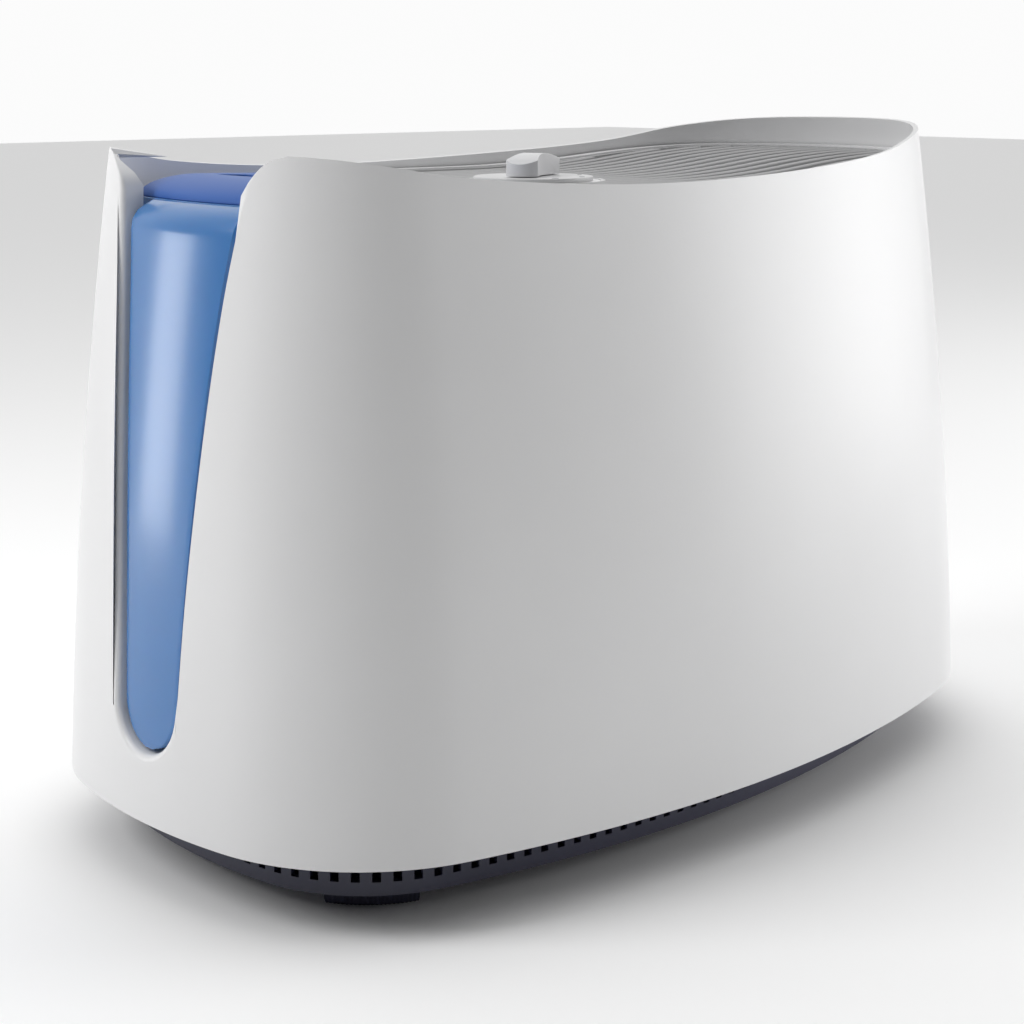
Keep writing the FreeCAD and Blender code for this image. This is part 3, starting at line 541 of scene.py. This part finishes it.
TANK_WALL = 0.0022
NECK_RADIUS = 0.023
NECK_BORE_RADIUS = 0.0205
tank = tank_body("water_tank_body", 0.0)
cut_with(tank, tank_nose("tank_nose", 0.0), "UNION")
cut_with(tank, upright_rod("tank_neck", NECK_RADIUS, 0.030, 0.048), "UNION")
hollow = tank_body("tank_hollow", TANK_WALL)
cut_with(hollow, tank_nose("nose_hollow", TANK_WALL), "UNION")
cut_with(hollow, block("pan_walls", (-0.1462, -0.0482, 0.2328), (-0.0938, 0.0482, 0.290), 0.005))
cut_with(tank, hollow)
cut_with(tank, upright_rod("neck_bore", NECK_BORE_RADIUS, 0.020, 0.051))
cut_with(tank, block("pan", (-0.144, -0.046, 0.235), (-0.096, 0.046, 0.275), 0.005))
smooth_by_angle(tank, 35)


def tinted_plastic(name, color, roughness, clear):
    """Translucent tinted plastic, glossy outside."""
    material = plastic(name, color, roughness, grain=0.04, grain_scale=350, coat=0.25, tint=0.05)
    shader = material.node_tree.nodes["Principled BSDF"]
    shader.inputs["Transmission Weight"].default_value = clear
    shader.inputs["IOR"].default_value = 1.49
    shader.inputs["Subsurface Weight"].default_value = 0.25
    shader.inputs["Subsurface Scale"].default_value = 0.01
    return material


tank_blue = tinted_plastic("tank_blue_plastic", (0.050, 0.195, 0.49), 0.22, 0.08)
dress(tank, tank_blue)
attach(tank, "tank")
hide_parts("water_tank")

# ---- Tank grip ----
# The darker blue top piece, clipped on the tank. Its edge is rounded, and two finger
# openings leave a carrying bar between them.
GRIP_INSET = 0.0363
GRIP_HIGH = 0.2645
GRIP_CROWN = 0.024
GRIP_RIGHT = -0.0640
GRIP_CORNER = 0.012
GRIP_FALL = 0.42
rows = []
for i in range(15):
    turn = math.pi / 2 * i / 14
    z = TANK_HIGH + (GRIP_HIGH - TANK_HIGH) * math.sin(turn)
    inset = GRIP_CROWN * (1 - math.cos(turn))
    outline = bay_outline(GRIP_INSET + inset, GRIP_RIGHT - inset, max(GRIP_CORNER - inset, 0.001))
    rows.append([(x, y, TANK_HIGH + (z - TANK_HIGH) * (1 - GRIP_FALL * min(max((x + 0.15) / 0.085, 0), 1)))
                 for x, y in outline])
grip = laid_sheet("tank_grip_top", rows)
close_ends(grip)
for low_x, high_x in ((-0.144, -0.129), (-0.111, -0.096)):
    cut_with(grip, block("finger_hole", (low_x, -0.046, 0.245), (high_x, 0.046, 0.285), 0.005, 5))
apply_modifier(grip, "BEVEL", width=0.0012, segments=3, limit_method="ANGLE",
               angle_limit=math.radians(50))
smooth_by_angle(grip, 40)
grip_blue = plastic("grip_blue_plastic", (0.040, 0.120, 0.40), 0.45, grain=0.04, grain_scale=350,
                    tint=0.05)
grip_blue.node_tree.nodes["Principled BSDF"].inputs["Specular IOR Level"].default_value = 0.18
dress(grip, grip_blue)
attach(grip, "tank")
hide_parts("tank_grip")

# ---- Outlet grille ----
# A grey-white moulding dropped into the deck's ledge: long slats on edge, tied by cross ribs
# underneath, with a band round its rim and a collar round the dial's seat.
DECK_LOW_Z = 0.260
DECK_HIGH_Z = 0.2684
RISE_START = 0.022
RISE_END = 0.176
GRILLE_INSET = 0.0334
GRILLE_LEFT = -0.0497
SLAT_PITCH = 0.010
SLAT_HALF = 0.0010
SLAT_LOW = 0.009
SLAT_SUNK = 0.0008
RIB_FIRST = 0.012
RIB_PITCH = 0.024
RIB_WIDTH = 0.002
RIB_HIGH = 0.006
ARM_HALF = 0.0093
DIAL_X = -0.016
COLLAR_INNER = 0.0283
COLLAR_OUTER = 0.0303


def deck_z(x):
    """Height of the deck's top at x: level, up through two arcs, then level."""
    half = (RISE_END - RISE_START) / 2
    rise = (DECK_HIGH_Z - DECK_LOW_Z) / 2
    radius = (half * half + rise * rise) / (2 * rise)
    x = min(max(x, RISE_START), RISE_END)
    if x < RISE_START + half:
        return DECK_LOW_Z + radius - math.sqrt(radius ** 2 - (x - RISE_START) ** 2)
    return DECK_HIGH_Z - radius + math.sqrt(radius ** 2 - (x - RISE_END) ** 2)


def deck_strip(name, start, end, half_width, low_drop, high_drop):
    """Bar that follows the deck line between two places, standing on edge."""
    steps = max(int((end[0] - start[0]) / 0.006), 2)
    section = [(-half_width, low_drop), (half_width, low_drop), (half_width, high_drop + 0.0006),
               (half_width * 0.45, high_drop), (-half_width * 0.45, high_drop),
               (-half_width, high_drop + 0.0006), (-half_width, low_drop)]
    rows = []
    for i in range(steps + 1):
        x = start[0] + (end[0] - start[0]) * i / steps
        rows.append([(x, start[1] + side, deck_z(x) - drop) for side, drop in section])
    piece = laid_sheet(name, rows)
    close_ends(piece)
    return piece


def join_pieces(name, parts):
    bpy.ops.object.select_all(action="DESELECT")
    for part in parts:
        part.select_set(True)
    bpy.context.view_layer.objects.active = parts[0]
    bpy.ops.object.join()
    joined = bpy.context.object
    joined.name = name
    return joined


def band_rows(path, low_drop, high_drop, width_to):
    """Rows of a thin upright band between two closed paths."""
    rows = []
    for outer, inner in zip(path, width_to):
        top = deck_z(outer[0]) - high_drop
        low = deck_z(outer[0]) - low_drop
        rows.append([(*outer, low), (*outer, top), (*inner, top), (*inner, low), (*outer, low)])
    return rows


def grille_path(extra):
    """Closed path round the grille: along its straight left side and round the plan outline."""
    travel = plan_travel_at(GRILLE_LEFT + extra, GRILLE_INSET + extra)
    points = []
    for side in (1, -1):
        run = [plan_point(side * (travel + (half_plan - travel) * i / 60), GRILLE_INSET + extra)
               for i in range(61)]
        points += run if side > 0 else run[::-1]
    return points + [points[0]]


slats = []
edge_inset = GRILLE_INSET + 0.001
for i in range(-10, 11):
    y = SLAT_PITCH * i
    low = plan_travel_at(0.06, edge_inset)
    high = half_plan
    if abs(y) > -plan_point(low, edge_inset)[1]:
        continue
    for _ in range(HALVINGS):
        middle = (low + high) / 2
        if -plan_point(middle, edge_inset)[1] > abs(y):
            low = middle
        else:
            high = middle
    stop = plan_point(low, edge_inset)[0]
    starts = [GRILLE_LEFT + 0.001]
    stops = [stop]
    if abs(y) < COLLAR_INNER:
        reach = math.sqrt((COLLAR_INNER + 0.001) ** 2 - y * y)
        starts = [GRILLE_LEFT + 0.001, DIAL_X + reach]
        stops = [DIAL_X - reach, stop]
        if abs(y) < ARM_HALF:
            starts = starts[1:]
            stops = stops[1:]
    for a, b in zip(starts, stops):
        slats.append(deck_strip("slat", (a, y), (b, y), SLAT_HALF, SLAT_LOW, SLAT_SUNK))
for i in range(10):
    x = GRILLE_LEFT + RIB_FIRST + RIB_PITCH * i
    if abs(x - DIAL_X) < 0.02:
        continue
    half = -plan_point(plan_travel_at(x, edge_inset), edge_inset)[1]
    slats.append(block("rib", (x, -half, deck_z(x) - SLAT_LOW),
                       (x + RIB_WIDTH, half, deck_z(x) - RIB_HIGH), 0.0005, 2))
band = laid_sheet("grille_band", band_rows(grille_path(0), SLAT_LOW, SLAT_SUNK, grille_path(0.002)))
collar_turns = [2 * math.pi * i / 96 for i in range(97)]
collar_outer, collar_inner = ([(DIAL_X + radius * math.cos(t), radius * math.sin(t)) for t in collar_turns]
                              for radius in (COLLAR_OUTER, COLLAR_INNER))
collar = laid_sheet("grille_collar", band_rows(collar_outer, SLAT_LOW, SLAT_SUNK, collar_inner))
cut_with(collar, block("arm_room", (-0.08, -ARM_HALF, 0.24), (DIAL_X, ARM_HALF, 0.2543), 0.0005, 1))
grille = join_pieces("outlet_grille_slats", [band, collar] + slats)
smooth_by_angle(grille, 35)
grille_grey = plastic("grille_plastic", (0.55, 0.55, 0.555), 0.30, grain=0.05)
dress(grille, grille_grey)
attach(grille, "housing")
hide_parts("outlet_grille")

# ---- Deck ledge, dial plate and its marks ----
# The white ledge that frames the grille, and the round plate under the knob. The plate has
# plain printed dots that grow in size for off, low, medium and high.


def softened_copy(node, name, width, segments=3, angle=38):
    """Copy of a CAD piece with its loose triangles merged and its sharp edges rounded."""
    source = nodes[node]
    piece = bpy.data.objects.new(name, source.data.copy())
    bpy.context.scene.collection.objects.link(piece)
    bpy.ops.object.select_all(action="DESELECT")
    piece.select_set(True)
    bpy.context.view_layer.objects.active = piece
    bpy.ops.mesh.customdata_custom_splitnormals_clear()
    bpy.ops.object.mode_set(mode="EDIT")
    bpy.ops.mesh.select_all(action="SELECT")
    bpy.ops.mesh.remove_doubles(threshold=TINY)
    bpy.ops.mesh.dissolve_limited(angle_limit=math.radians(0.5))
    bpy.ops.mesh.select_all(action="DESELECT")
    bpy.ops.object.mode_set(mode="OBJECT")
    apply_modifier(piece, "BEVEL", width=width, segments=segments, limit_method="ANGLE",
                   angle_limit=math.radians(angle))
    smooth_by_angle(piece, 40)
    return piece


trim_white = plastic("trim_white_plastic", (0.80, 0.80, 0.805), 0.32, grain=0.05)
dress(nodes["top_deck"], trim_white)
dial = softened_copy("dial_plate", "dial_plate_face", 0.0004)
dial_white = plastic("dial_white_plastic", (0.60, 0.60, 0.605), 0.38, grain=0.05)
dress(dial, dial_white)
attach(dial, "housing")
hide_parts("dial_plate")

DOT_RING = 0.0215
DOT_Z = 0.26085
dots = []
for i, radius in enumerate((0.0006, 0.0009, 0.0012, 0.0015)):
    turn = math.radians(27 - 45 * i)
    place = (DIAL_X + DOT_RING * math.cos(turn), DOT_RING * math.sin(turn), DOT_Z)
    bpy.ops.object.select_all(action="DESELECT")
    bpy.ops.mesh.primitive_cylinder_add(vertices=32, radius=radius, depth=0.0001, location=place)
    dot = bpy.context.object
    dot.data.transform(dot.matrix_world)
    dot.matrix_world = Matrix.Identity(4)
    dots.append(dot)
dial_marks = join_pieces("dial_marks", dots)
mark_grey = plastic("mark_grey_ink", (0.22, 0.23, 0.26), 0.5, grain=0.02)
dress(dial_marks, mark_grey)
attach(dial_marks, "housing")

# ---- Control knob ----
# A white bar knob with hollow flanks and an arched top, moulded in one piece and pushed onto
# the switch's shaft.
knob = softened_copy("control_knob", "control_knob_bar", 0.0018, 6, 45)
knob_white = plastic("knob_white_plastic", (0.66, 0.66, 0.67), 0.3, grain=0.03)
dress(knob, knob_white)
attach(knob, "knob")
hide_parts("control_knob")

# ---- Base tray ----
# The dark navy water tray, moulded with a slotted skirt that lets air in all round. Its
# outside is satin, with a slight random drift in its tone.
base_navy = plastic("base_navy_plastic", (0.029, 0.030, 0.062), 0.34, grain=0.06, tint=0.12)
dress(nodes["base_tray"], base_navy)

# ---- Rubber feet ----
# Four curved rubber blocks pressed under the corners, with fine upright ribs on their faces
# and a rounded lower edge.
FOOT_RIBS = 22
FOOT_RIB_DEPTH = 0.00025
FOOT_WIDTH = 0.012
FOOT_ROUNDING = [(0.0, 0.0022), (0.0003, 0.0012), (0.0010, 0.0005), (0.0022, 0.0), (0.0095, 0.0)]


def foot_outline(x, y, outer, width, start, end, inset):
    """Closed outline of a curved block whose outer face is ribbed."""
    points = []
    steps = FOOT_RIBS * 4
    for i in range(steps + 1):
        turn = math.radians(start + (end - start) * i / steps)
        radius = outer - inset - (FOOT_RIB_DEPTH if i % 4 in (2, 3) else 0.0)
        points.append((x + radius * math.cos(turn), y + radius * math.sin(turn)))
    for i in range(steps + 1):
        turn = math.radians(end - (end - start) * i / steps)
        radius = outer - width + inset
        points.append((x + radius * math.cos(turn), y + radius * math.sin(turn)))
    return points + [points[0]]


FOOT_PLACES = [(corner_x, corner_y, CORNER_RADIUS - 0.034, 209, 252),
               (right_x, 0.0, right_radius - 0.031, 285, 318)]
feet = []
for x, y, outer, start, end in FOOT_PLACES:
    for side in (1, -1):
        rows = []
        for z, inset in FOOT_ROUNDING:
            outline = foot_outline(x, y, outer, FOOT_WIDTH, start, end, inset)
            rows.append([(px, side * py, z) for px, py in outline])
        foot = laid_sheet("foot", rows)
        close_ends(foot)
        feet.append(foot)
rubber_feet = join_pieces("rubber_feet_ribbed", feet)
smooth_by_angle(rubber_feet, 30)
foot_rubber = plastic("foot_rubber", (0.026, 0.027, 0.056), 0.5, grain=0.10, grain_scale=700, tint=0.1)
dress(rubber_feet, foot_rubber)
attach(rubber_feet, "base")
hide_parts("rubber_feet")

# ---- Wick filter ----
# Expanded paper, glued into a thick honeycomb pad and curved round the fan's axis. Its faces
# show the pleats of the paper, and it stands in the tray's water.
FAN_X = 0.092
WICK_OUTER = 0.0752
WICK_INNER = 0.0508
WICK_HALF_TURN = 139
PLEATS = 110
PLEAT_DEPTH = 0.0007
rows = []
for z, draw in ((0.0130, 0.002), (0.0145, 0.0), (0.050, 0.0), (0.082, 0.0), (0.115, 0.0),
                (0.1485, 0.0), (0.150, 0.002)):
    row = []
    for face in (1, -1):
        for i in range(PLEATS * 6 + 1):
            share = i / (PLEATS * 6)
            swept = 2 * WICK_HALF_TURN * (share if face > 0 else 1 - share)
            turn = math.radians(-WICK_HALF_TURN + swept)
            wave = PLEAT_DEPTH * math.sin(2 * math.pi * PLEATS * share)
            radius = (WICK_OUTER - draw if face > 0 else WICK_INNER + draw) + wave
            row.append((FAN_X + radius * math.cos(turn), radius * math.sin(turn), z))
    rows.append(row + [row[0]])
wick = laid_sheet("wick_filter_pad", rows)
close_ends(wick)
smooth_by_angle(wick, 60)


def paper(name, color):
    """Absorbent paper: mottled fibres, with the honeycomb's open cells darkened in as painted shade."""
    material = plastic(name, color, 0.9, grain=0.5, grain_scale=500, tint=0.08)
    tree = material.node_tree
    shader = tree.nodes["Principled BSDF"]
    shader.inputs["Specular IOR Level"].default_value = 0.15
    place = tree.nodes.new("ShaderNodeTexCoord")
    cells = tree.nodes.new("ShaderNodeTexVoronoi")
    cells.feature = "DISTANCE_TO_EDGE"
    cells.inputs["Scale"].default_value = 180.0
    cells.inputs["Randomness"].default_value = 0.35
    tree.links.new(place.outputs["Object"], cells.inputs["Vector"])
    # Cell centres darken to half the paper's colour: painted shade in the honeycomb's open cells.
    painted_cell_shade = tree.nodes.new("ShaderNodeValToRGB")
    painted_cell_shade.color_ramp.elements[0].position = 0.02
    painted_cell_shade.color_ramp.elements[0].color = (*color, 1)
    painted_cell_shade.color_ramp.elements[1].position = 0.16
    painted_cell_shade.color_ramp.elements[1].color = (*[c * 0.5 for c in color], 1)
    tree.links.new(cells.outputs["Distance"], painted_cell_shade.inputs["Fac"])
    tree.links.new(painted_cell_shade.outputs["Color"], shader.inputs["Base Color"])
    return material


wick_paper = paper("wick_paper", (0.74, 0.71, 0.62))
dress(wick, wick_paper)
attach(wick, "base")
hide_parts("wick_filter")
frame_plastic = plastic("frame_grey_plastic", (0.10, 0.11, 0.18), 0.5, grain=0.08)
dress(nodes["filter_frame"], frame_plastic)

# ---- Air path ----
# The white bay liner, moulded and left matt, since nobody sees it once the housing stands on
# its tray. The fan shroud is coloured near black as painted shade, for the dark gaps seen
# between the grille's slats.
liner_white = plastic("liner_white_plastic", (0.74, 0.74, 0.80), 0.5, grain=0.08)
dress(nodes["tank_bay_liner"], liner_white)
# Near black shroud: painted shade for the gaps seen between the grille's slats.
shroud_painted_shade = plastic("shroud_painted_shade_plastic", (0.07, 0.07, 0.08), 0.5, grain=0.08, tint=0.08)
dress(nodes["fan_shroud"], shroud_painted_shade)

# ---- Fan and motor ----
# A grey moulded fan on a ground shaft, under a plated motor that hangs from a pressed
# bracket on rubber grommets.


def metal(name, color, roughness, stretch):
    """Plated or ground metal, with fine marks drawn out along one direction."""
    material = plastic(name, color, roughness, grain=0.08, grain_scale=400, tint=0.05)
    tree = material.node_tree
    tree.nodes["Principled BSDF"].inputs["Metallic"].default_value = 1.0
    turned = tree.nodes.new("ShaderNodeMapping")
    turned.inputs["Scale"].default_value = stretch
    place = [n for n in tree.nodes if n.type == "TEX_COORD"][0]
    for texture in [n for n in tree.nodes if n.type == "TEX_NOISE"]:
        tree.links.new(turned.outputs["Vector"], texture.inputs["Vector"])
    tree.links.new(place.outputs["Object"], turned.inputs["Vector"])
    return material


fan = softened_copy("fan_blade", "fan_blade_moulding", 0.0005, 2, 50)
fan_plastic = plastic("fan_grey_plastic", (0.13, 0.14, 0.16), 0.42, grain=0.06)
dress(fan, fan_plastic)
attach(fan, "fan")
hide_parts("fan_blade")
zinc = metal("zinc_plated_steel", (0.60, 0.61, 0.62), 0.38, (1, 1, 6))
ground = metal("ground_steel", (0.68, 0.68, 0.69), 0.2, (1, 1, 40))
for name in ("motor_bracket", "bracket_screws", "shroud_screws", "motor_can", "motor_end_bell"):
    dress(nodes[name], zinc)
for name in ("motor_shaft", "switch_shaft", "fan_nut"):
    dress(nodes[name], ground)
black_rubber = plastic("black_rubber", (0.025, 0.025, 0.025), 0.6, grain=0.12, tint=0.1)
dress(nodes["motor_grommets"], black_rubber)

# ---- Switch, leads and gland ----
# A boxed rotary switch under the dial, with a grey lead up the rear wall in nylon clips and
# a short one to the motor. The gland is a black rubber bush in the rear wall.
switch_black = plastic("switch_black_plastic", (0.05, 0.05, 0.055), 0.45, grain=0.08, tint=0.1)
dress(nodes["rotary_switch"], switch_black)
lead_grey = plastic("lead_grey_jacket", (0.60, 0.60, 0.60), 0.42, grain=0.06)
dress(nodes["supply_lead"], lead_grey)
dress(nodes["motor_lead"], lead_grey)
nylon = plastic("clip_nylon", (0.78, 0.76, 0.68), 0.45, grain=0.06)
dress(nodes["lead_clips"], nylon)
gland = softened_copy("cord_gland", "cord_gland_bush", 0.0006)
dress(gland, black_rubber)
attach(gland, "housing")
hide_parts("cord_gland")

# ---- Tank cap and valve ----
# A white screw cap with a knurled side, a soft gasket, and a sprung plunger that the tray's
# post pushes open.
cap = softened_copy("tank_cap", "tank_cap_knurled", 0.0004, 2, 50)
cap_white = plastic("cap_white_plastic", (0.78, 0.79, 0.80), 0.4, grain=0.06)
dress(cap, cap_white)
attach(cap, "cap")
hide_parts("tank_cap")
dress(nodes["valve_plunger"], cap_white)
seal_rubber = plastic("seal_rubber", (0.66, 0.65, 0.60), 0.55, grain=0.1)
dress(nodes["cap_gasket"], seal_rubber)
dress(nodes["valve_seal"], seal_rubber)

bpy.ops.object.select_all(action="DESELECT")
SPRING_TURNS = 6
SPRING_RADIUS = 0.0040
SPRING_LOW = 0.0367
SPRING_RISE = 0.0096
WIRE_RADIUS = 0.0005
rows = []
for i in range(SPRING_TURNS * 24 + 1):
    turn = 2 * math.pi * i / 24
    z = SPRING_LOW + SPRING_RISE * i / (SPRING_TURNS * 24)
    ring_row = []
    for j in range(9):
        around = 2 * math.pi * j / 8
        radius = SPRING_RADIUS + WIRE_RADIUS * math.cos(around)
        ring_row.append((TANK_X + radius * math.cos(turn), radius * math.sin(turn),
                         z + WIRE_RADIUS * math.sin(around)))
    rows.append(ring_row)
spring = laid_sheet("valve_spring_coil", rows)
close_ends(spring)
smooth_by_angle(spring, 60)
dress(spring, ground)
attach(spring, "cap")
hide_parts("valve_spring")
